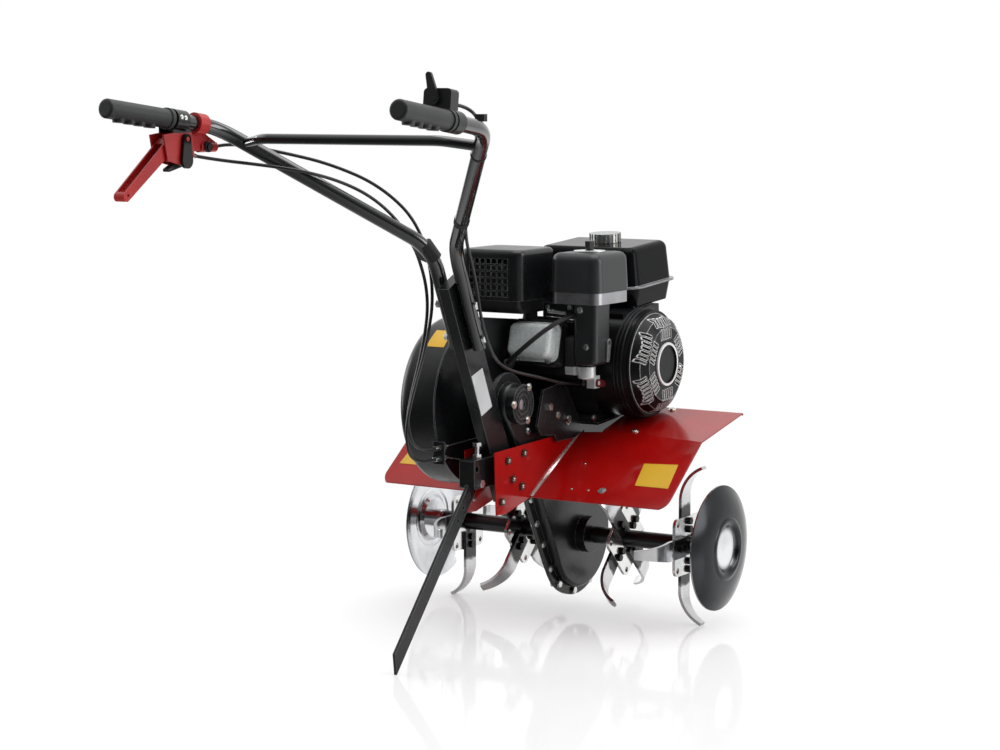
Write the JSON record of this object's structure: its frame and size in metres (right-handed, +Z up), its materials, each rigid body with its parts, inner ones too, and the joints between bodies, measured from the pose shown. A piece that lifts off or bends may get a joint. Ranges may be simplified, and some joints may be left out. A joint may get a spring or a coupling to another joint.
{
  "type": "garden tiller",
  "caption": "Petrol garden tiller with curved tines and soil discs under two fenders, chain case, belt drive, engine, drag bar and steering handles with hand levers.",
  "frame": {"origin": "on the ground, under the middle of the machine's length and width", "axes": "+X to the machine's right, +Y forwards, +Z up"},
  "size_m": [0.6792, 1.2512, 1.0531],
  "materials": {
    "black_paint": "satin",
    "red_paint": "gloss",
    "disc_paint": "satin",
    "zinc": "satin",
    "tine_steel": "satin",
    "machined_steel": "satin",
    "cast_pulley": "matte",
    "cast_aluminium": "matte",
    "rubber": "matte",
    "black_plastic": "matte",
    "grey_plastic": "matte"
  },
  "bodies": {
    "chassis": {"chain_case_left": "black_paint", "chain_case_right": "black_paint", "frame_bolts": "zinc", "shaft_bearings": "machined_steel", "drive_chain": "machined_steel", "engine_mount": "black_paint", "fender_left": "red_paint", "fender_right": "red_paint", "belt_backplate": "black_paint", "belt_cover": "red_paint", "drive_belt": "rubber", "cable_adjusters": "zinc", "handle_column": "black_paint", "hitch_socket": "black_paint", "drag_bar": "zinc", "handle_tube_left": "black_paint", "handle_tube_right": "black_paint", "cross_tube": "black_paint", "grip_left": "rubber", "grip_right": "rubber", "clutch_bracket": "red_paint", "reverse_bracket": "red_paint", "throttle_box": "black_plastic", "forward_cable": "black_plastic", "reverse_cable": "black_plastic", "throttle_cable": "black_plastic", "engine_block": "cast_aluminium", "rocker_cover": "cast_aluminium", "fan_housing": "black_paint", "recoil_cover": "black_paint", "muffler": "black_paint", "muffler_guard": "black_paint", "air_cleaner_base": "black_plastic", "air_cleaner_cover": "black_plastic", "carburettor": "cast_aluminium", "fuel_tank": "black_paint"},
    "rotor": {"tine_shaft": "machined_steel", "tine_hubs": "black_paint", "tines_left": "tine_steel", "tines_right": "tine_steel", "tine_bolts": "zinc", "soil_discs": "disc_paint"},
    "layshaft": {"input_shaft": "machined_steel", "driven_pulley": "cast_pulley"},
    "crank": {"crankshaft": "machined_steel", "engine_pulley": "cast_pulley", "flywheel_fan": "cast_pulley"},
    "starter_grip": {"starter_grip": "black_plastic"},
    "idler_arm": {"idler_arm": "machined_steel"},
    "idler_pulley": {"idler_pulley": "cast_pulley"},
    "reverse_arm": {"reverse_arm": "machined_steel"},
    "clutch_lever": {"clutch_lever": "red_paint"},
    "reverse_lever": {"reverse_lever": "black_plastic"},
    "lock_trigger": {"lock_trigger": "black_plastic"},
    "throttle_lever": {"throttle_lever": "black_plastic"},
    "throttle_arm": {"throttle_arm": "zinc"},
    "choke_lever": {"choke_lever": "zinc"},
    "fuel_lever": {"fuel_lever": "zinc"},
    "fuel_cap": {"fuel_cap": "grey_plastic"},
    "air_cleaner_knob": {"air_cleaner_knob": "black_plastic"}
  },
  "joints": [
    {"name": "rotor_spin", "type": "hinge", "parent": "chassis", "child": "rotor", "pos_m": [0, 0.42797, 0.155], "axis": [1, 0, 0], "continuous": true},
    {"name": "layshaft_spin", "type": "hinge", "parent": "chassis", "child": "layshaft", "pos_m": [-0.03, 0.16598, 0.442], "axis": [1, 0, 0], "continuous": true},
    {"name": "crank_spin", "type": "hinge", "parent": "chassis", "child": "crank", "pos_m": [0, 0.46298, 0.498], "axis": [1, 0, 0], "continuous": true},
    {"name": "starter_pull", "type": "slide", "parent": "chassis", "child": "starter_grip", "axis": [0, 0.9613, 0.2756], "range_m": [0, 0.5]},
    {"name": "idler_swing", "type": "hinge", "parent": "chassis", "child": "idler_arm", "pos_m": [-0.06, 0.27828, 0.44007], "axis": [1, 0, 0], "range_deg": [-12.1, 0]},
    {"name": "idler_spin", "type": "hinge", "parent": "idler_arm", "child": "idler_pulley", "pos_m": [-0.094, 0.33324, 0.43813], "axis": [1, 0, 0], "continuous": true},
    {"name": "reverse_arm_swing", "type": "hinge", "parent": "chassis", "child": "reverse_arm", "pos_m": [-0.04, 0.25133, 0.3485], "axis": [1, 0, 0], "range_deg": [-15, 0]},
    {"name": "clutch_squeeze", "type": "hinge", "parent": "chassis", "child": "clutch_lever", "pos_m": [-0.287, -0.47103, 0.932], "axis": [1, 0, 0], "range_deg": [-40, 0]},
    {"name": "reverse_pull", "type": "hinge", "parent": "chassis", "child": "reverse_lever", "pos_m": [-0.268, -0.43802, 0.942], "axis": [1, 0, 0], "range_deg": [-25, 0]},
    {"name": "lock_press", "type": "hinge", "parent": "chassis", "child": "lock_trigger", "pos_m": [-0.287, -0.42902, 0.903], "axis": [1, 0, 0], "range_deg": [-18, 0]},
    {"name": "throttle_move", "type": "hinge", "parent": "chassis", "child": "throttle_lever", "pos_m": [0.25032, -0.4508, 1.00807], "axis": [0.0507, -0.9913, 0.1212], "range_deg": [-60, 0]},
    {"name": "throttle_arm_swing", "type": "hinge", "parent": "chassis", "child": "throttle_arm", "pos_m": [0.062, 0.36597, 0.496], "axis": [1, 0, 0], "range_deg": [0, 24]},
    {"name": "choke_move", "type": "hinge", "parent": "chassis", "child": "choke_lever", "pos_m": [0.126, 0.33598, 0.548], "axis": [1, 0, 0], "range_deg": [-40, 0]},
    {"name": "fuel_turn", "type": "hinge", "parent": "chassis", "child": "fuel_lever", "pos_m": [0.108, 0.32798, 0.47], "axis": [1, 0, 0], "range_deg": [0, 60]},
    {"name": "cap_turn", "type": "hinge", "parent": "chassis", "child": "fuel_cap", "pos_m": [0.01, 0.53107, 0.72831], "axis": [0, -0.0698, 0.9976], "range_deg": [0, 90]},
    {"name": "knob_turn", "type": "hinge", "parent": "chassis", "child": "air_cleaner_knob", "pos_m": [0.087, 0.32948, 0.72], "axis": [0, 0, 1], "continuous": true}
  ],
  "couplings": [
    {"joint": "layshaft_spin", "follows": "rotor_spin", "ratio": 2.6},
    {"joint": "idler_swing", "follows": "clutch_squeeze", "ratio": 0.3025},
    {"joint": "reverse_arm_swing", "follows": "reverse_pull", "ratio": 0.6},
    {"joint": "throttle_arm_swing", "follows": "throttle_move", "ratio": -0.4}
  ]
}
